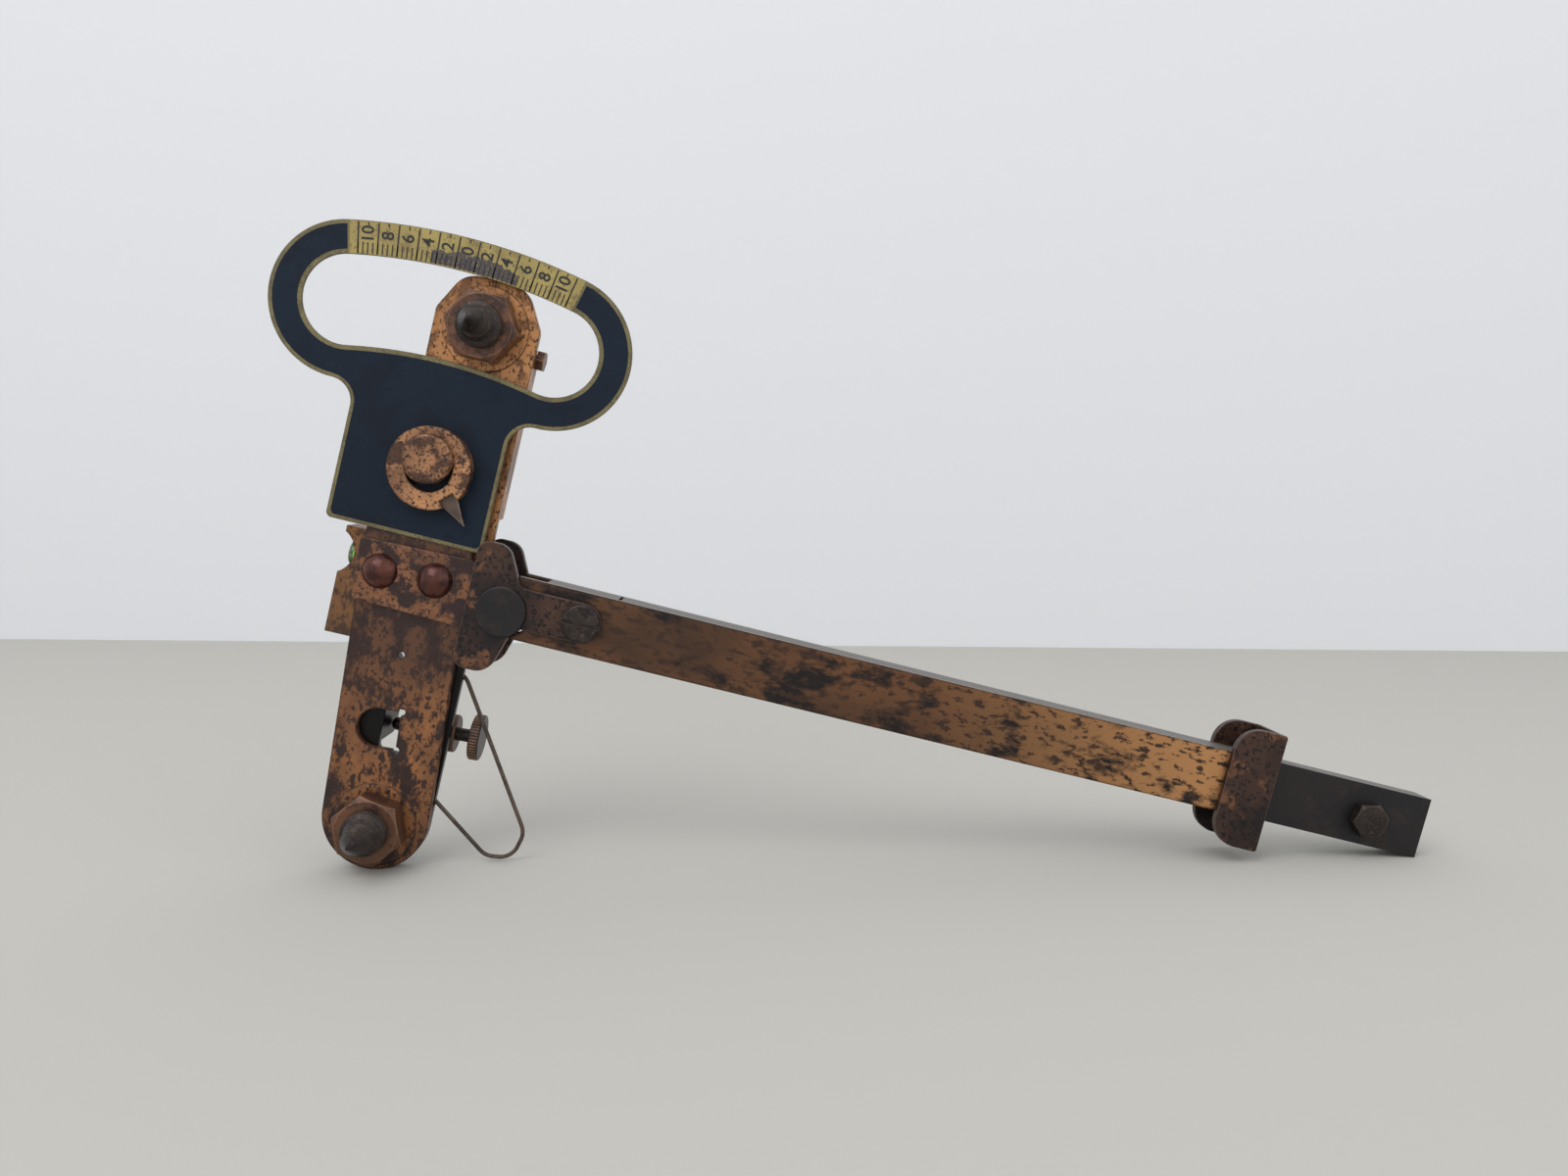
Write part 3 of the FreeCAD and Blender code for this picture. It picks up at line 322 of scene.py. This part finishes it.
cap_turn, cap_distance = 11.52, 180.3
enamel_thick, brass_thick = 0.12, 0.03
cap = (math.sin(math.radians(cap_turn)) * cap_distance, math.cos(math.radians(cap_turn)) * cap_distance)
neck = (35.5, cap[1] - 34.8)
right = arc(cap, 25.4, 12.6, 180.8) + arc(neck, 9.3, 0.8, -90, 10) + [(26.2, 105.4), (25.2, 104.2)]
left = [(-x, z) for x, z in reversed(right)]
inner = arc(cap, 17.0, 12.3, 191.5)
under_window = arc((0, 0), 163.3, -11.5, 11.5)
hole = [(-x, z) for x, z in inner] + under_window[1:-1] + inner[::-1]
flat_shape("enamel_face", right + left + hole, enamel_thick, enamel_thick, enamel)
band = arc((0, 0), 195.8, 11.4, -11.4, 40) + arc((0, 0), 206.9, -11.4, 11.4, 40)
flat_shape("scale_face", band, brass_thick, brass_thick, brass)

# Lines of the scale: black lines on the brass, set out by one small array of boxes about the pivot.
# Full lines stand at the odd degrees, short ones every half degree, and a tick by each number.
STEP = 0.963
ink = worn("ink", base=(24, 24, 26), patch=(34, 32, 30), speck=(52, 46, 38), edge=(52, 46, 38),
           patch_at=0.6, speck_at=0.68, size=200, rough=0.5, metal=0.0, edge_width=0.05)


def array_tree(material):
    """A node tree that stands boxes on an arc about the local Y axis, with equal steps."""
    tree = bpy.data.node_groups.new("ring of boxes", "GeometryNodeTree")
    face = tree.interface
    face.new_socket("Geometry", in_out="OUTPUT", socket_type="NodeSocketGeometry")
    for name, kind in (("Count", "NodeSocketInt"), ("Step", "NodeSocketFloat"),
                       ("Radius", "NodeSocketFloat"), ("Size", "NodeSocketVector")):
        face.new_socket(name, in_out="INPUT", socket_type=kind)
    new, link = tree.nodes.new, tree.links.new
    given, result = new("NodeGroupInput"), new("NodeGroupOutput")
    line, cube = new("GeometryNodeMeshLine"), new("GeometryNodeMeshCube")
    index = new("GeometryNodeInputIndex")
    line.mode = "OFFSET"
    link(given.outputs["Count"], line.inputs["Count"])
    link(given.outputs["Size"], cube.inputs["Size"])

    def maths(operation, first, second=None):
        node = new("ShaderNodeMath")
        node.operation = operation
        for socket, value in zip(node.inputs, (first, second)):
            if isinstance(value, (int, float)):
                socket.default_value = value
            elif value is not None:
                link(value, socket)
        return node.outputs[0]

    middle = maths("DIVIDE", maths("SUBTRACT", given.outputs["Count"], 1.0), 2.0)
    angle = maths("MULTIPLY", maths("SUBTRACT", index.outputs[0], middle), given.outputs["Step"])
    spot, turn = new("ShaderNodeCombineXYZ"), new("ShaderNodeCombineXYZ")
    link(maths("MULTIPLY", maths("SINE", angle), given.outputs["Radius"]), spot.inputs["X"])
    link(maths("MULTIPLY", maths("COSINE", angle), given.outputs["Radius"]), spot.inputs["Z"])
    link(angle, turn.inputs["Y"])
    moved, copies = new("GeometryNodeSetPosition"), new("GeometryNodeInstanceOnPoints")
    real, painted = new("GeometryNodeRealizeInstances"), new("GeometryNodeSetMaterial")
    link(line.outputs["Mesh"], moved.inputs["Geometry"])
    link(spot.outputs[0], moved.inputs["Position"])
    link(moved.outputs[0], copies.inputs["Points"])
    link(cube.outputs["Mesh"], copies.inputs["Instance"])
    link(turn.outputs[0], copies.inputs["Rotation"])
    link(copies.outputs[0], real.inputs[0])
    painted.inputs["Material"].default_value = material
    link(real.outputs[0], painted.inputs["Geometry"])
    link(painted.outputs[0], result.inputs[0])
    return tree


def ring_of_boxes(name, count, step, radius, size, place, slot, body, material):
    """A plain mesh of the array; step is in degrees, radius and size in millimetres."""
    tree = array_tree(material)
    obj = bpy.data.objects.new(name, bpy.data.meshes.new(name))
    bpy.context.scene.collection.objects.link(obj)
    modifier = obj.modifiers.new("array", "NODES")
    modifier.node_group = tree
    values = {"Count": count, "Step": math.radians(step),
              "Radius": radius * MM, "Size": [c * MM for c in size]}
    for item in tree.interface.items_tree:
        if item.in_out == "INPUT":
            modifier[item.identifier] = values[item.name]
    obj.update_tag()
    mesh = bpy.data.meshes.new_from_object(obj.evaluated_get(bpy.context.evaluated_depsgraph_get()))
    obj.modifiers.remove(modifier)
    bpy.data.objects.remove(obj)
    mesh.transform(place)
    return settle(name, mesh, slot, body, material)


ink_depth, ink_front = 0.12, 0.04
band_inside, band_outside = 196.0, 206.6
for name, count, step, inside, outside, width in (
        ("lines", 12, 2 * STEP, band_inside, band_outside, 0.5),
        ("half_ticks", 45, STEP / 2, band_inside, 199.8, 0.4),
        ("number_ticks", 11, 2 * STEP, 205.4, band_outside, 0.4)):
    ring_of_boxes(name, count, step, (inside + outside) / 2, (width, ink_depth, outside - inside),
                  DIAL @ Matrix.Translation((0, -ink_front * MM, 0)), "dial_face", "head", ink)

# Numbers of the scale: every second degree from 10 down to 0 and up to 10, in the same black, between
# the lines. They are turned a quarter, so that they read upwards.
number_height, number_bold, number_depth = 5.8, 0.09, 0.1
number_front, number_radius = 0.06, 202.6
for k in range(-5, 6):
    text = bpy.data.curves.new("number", "FONT")
    text.body = str(abs(2 * k))
    text.size = number_height * MM
    text.align_x = "CENTER"
    text.align_y = "CENTER"
    text.extrude = number_depth / 2 * MM
    text.offset = number_bold * MM
    place = (DIAL @ Matrix.Rotation(math.radians(2 * k * STEP), 4, "Y")
             @ Matrix.Translation((0, -number_front * MM, number_radius * MM))
             @ UPRIGHT @ Matrix.Rotation(math.pi / 2, 4, "Z"))
    settle("number_%d" % (k + 5), meshed(text, place), "dial_face", "head", ink)

# Tarnish: a ragged patch in the middle of the band, where the brass has gone black with use. It is a
# stain and no piece of the gauge, so it stands hardly proud of the band.
random.seed(4)
stain_from, stain_to, stain_points = -3.4, 5.2, 40
stain_edge, stain_swell, stain_ragged = 200.6, 1.6, 1.2
ragged = []
for k in range(stain_points):
    share = k / (stain_points - 1)
    t = math.radians(stain_from + (stain_to - stain_from) * share)
    depth = stain_edge + stain_swell * math.sin(math.pi * share) - random.random() * stain_ragged
    ragged.append((depth * math.sin(t), depth * math.cos(t)))
tarnish = worn("tarnish", base=(58, 52, 62), patch=(84, 76, 66), speck=(120, 110, 80), edge=(58, 52, 62),
               patch_at=0.56, speck_at=0.6, size=240, rough=0.5, metal=0.2, edge_width=0.05)
flat_shape("tarnish", ragged + arc((0, 0), 196.2, stain_to, stain_from, 30), 0.06, 0.03, tarnish)

# Centre pin and pointer: a turned pin holds a loose ring with a small pointed needle under it. Both
# are worn to copper in patches, and the needle is greyer.
paint("ring_copper", worn, base=(190, 138, 96), patch=(84, 60, 48), speck=(62, 46, 40), edge=(46, 36, 33),
      patch_at=0.52, speck_at=0.56, size=150, rough=0.36, metal=0.6, edge_width=0.9)
paint("needle_steel", worn, base=(104, 88, 76), patch=(78, 65, 58), speck=(84, 71, 62), edge=(164, 150, 134),
      size=200)

# Thumb screw and lock nut: round turned pieces that set where the bar stops, each knurled for the
# fingers. The knurls are boxes sunk into the rims.
knurl_width, knurl_rise = 0.5, 0.35
head_from_nut = 10.05
for node, body, radius, length, count in (("thumb_screw", "screw", 8.2, 3.0, 48),
                                          ("lock_nut", "lock", 6.7, 4.6, 40)):
    a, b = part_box("lock_nut")
    turn = Matrix.Rotation(math.radians(STRIP_LEAN), 4, "Y")
    centre = (a + b) / 2
    if node == "thumb_screw":
        centre += turn @ Vector((1, 0, 0)) * head_from_nut * MM
    place = Matrix.Translation(centre) @ turn @ Matrix.Rotation(math.pi / 2, 4, "Z")
    ring_of_boxes(node + "_knurl", count, 360 / count, radius, (knurl_width, length, knurl_rise), place,
                  "nut_steel", body, finish["nut_steel"])

# Bail wire: a hairpin of spring wire behind the bar, browned all over.
# Its form comes from the frame, so it only takes its finish here.
paint("wire_steel", worn, base=(92, 76, 66), patch=(60, 50, 46), speck=(110, 92, 80), edge=(120, 100, 88),
      size=150)

# Arm: two long steel plates over a spacer, with dark patches drawn out along them, a bright far end
# and pale tops, a painted sheen of the light from above. The ears at the hinge and the yoke at the end are
# of darker steel.
ARM_SLOPE = 14.16
paint("arm_steel", worn, base=(110, 74, 48), patch=(32, 26, 26), speck=(62, 44, 34), edge=(26, 22, 23),
      patch_at=0.54, speck_at=0.56, size=70, rough=0.36, metal=0.55, edge_width=1.2,
      pale_top=(122, 114, 106), fade=("X", 0.02, 0.12, (192, 140, 90), 0.85), grain=(ARM_SLOPE, (2.0, 1, 1)))
paint("dark_steel", worn, base=(36, 28, 29), patch=(110, 74, 52), speck=(24, 20, 22), edge=(110, 94, 86),
      patch_at=0.6, speck_at=0.56, size=110, rough=0.38, metal=0.5)

# Extension bar: a slotted steel bar, blacked, that slides between the arm's plates. The hinge pin has
# the same black finish.
# Its upward faces go pale grey: a painted sheen of the light from above.
paint("black_steel", worn, base=(18, 17, 20), patch=(38, 29, 26), speck=(13, 13, 16), edge=(70, 64, 62),
      patch_at=0.58, speck_at=0.62, size=70, rough=0.5, metal=0.3, edge_width=0.5, pale_top=(104, 100, 95))

# Floor and wall: a plain pale table top and a plain pale wall behind it. The wall comes nearer on
# the right, so that their joint slopes a little in the picture.
half_width, floor_front, wall_height = 3, -2, 3
wall_left, wall_right = 0.889, 0.313
floor = [(-half_width, floor_front, 0), (half_width, floor_front, 0),
         (half_width, wall_right, 0), (-half_width, wall_left, 0)]
wall = [(-half_width, wall_left, 0), (half_width, wall_right, 0),
        (half_width, wall_right, wall_height), (-half_width, wall_left, wall_height)]
for name, corners, shade in (("floor", floor, (189, 187, 180)), ("wall", wall, (226, 228, 231))):
    mesh = bpy.data.meshes.new(name)
    mesh.from_pydata(corners, [], [(0, 1, 2, 3)])
    mat = bpy.data.materials.new(name)
    mat.use_nodes = True
    mat.node_tree.nodes["Principled BSDF"].inputs["Base Color"].default_value = tone(shade)
    mat.node_tree.nodes["Principled BSDF"].inputs["Roughness"].default_value = 0.9
    mesh.materials.append(mat)
    obj = bpy.data.objects.new(name, mesh)
    bpy.context.scene.collection.objects.link(obj)

# Light and camera: soft sky light all round, a large lamp high on the left and a weak one on the
# right. The camera stands where the photograph was taken from.
world = bpy.data.worlds.new("sky")
world.use_nodes = True
world.node_tree.nodes["Background"].inputs["Color"].default_value = (0.97, 0.975, 1.0, 1.0)
world.node_tree.nodes["Background"].inputs["Strength"].default_value = 0.98
bpy.context.scene.world = world
lit_point = Vector((0, 0, 0.1))
for name, spot, power, size in (("key", (-0.7, -1.1, 1.5), 10.5, 1.2), ("fill", (1.2, -1.0, 0.7), 2.3, 1.5)):
    lamp = bpy.data.lights.new(name, "AREA")
    lamp.energy = power
    lamp.size = size
    obj = bpy.data.objects.new(name, lamp)
    obj.location = spot
    obj.rotation_euler = (lit_point - Vector(spot)).to_track_quat("-Z", "Y").to_euler()
    bpy.context.scene.collection.objects.link(obj)
camera = bpy.data.objects.new("camera", bpy.data.cameras.new("camera"))
camera.data.sensor_width = 36
camera.data.lens = 27.0
camera.data.clip_start = 0.01
camera.location = (-0.0451, -0.4116, 0.1346)
yaw, pitch = math.radians(2.0), math.radians(4.77)
aim = Vector((math.sin(yaw) * math.cos(pitch), math.cos(yaw) * math.cos(pitch), -math.sin(pitch)))
camera.rotation_euler = aim.to_track_quat("-Z", "Y").to_euler()
bpy.context.scene.collection.objects.link(camera)
bpy.context.scene.camera = camera
bpy.context.scene.view_settings.view_transform = "Standard"
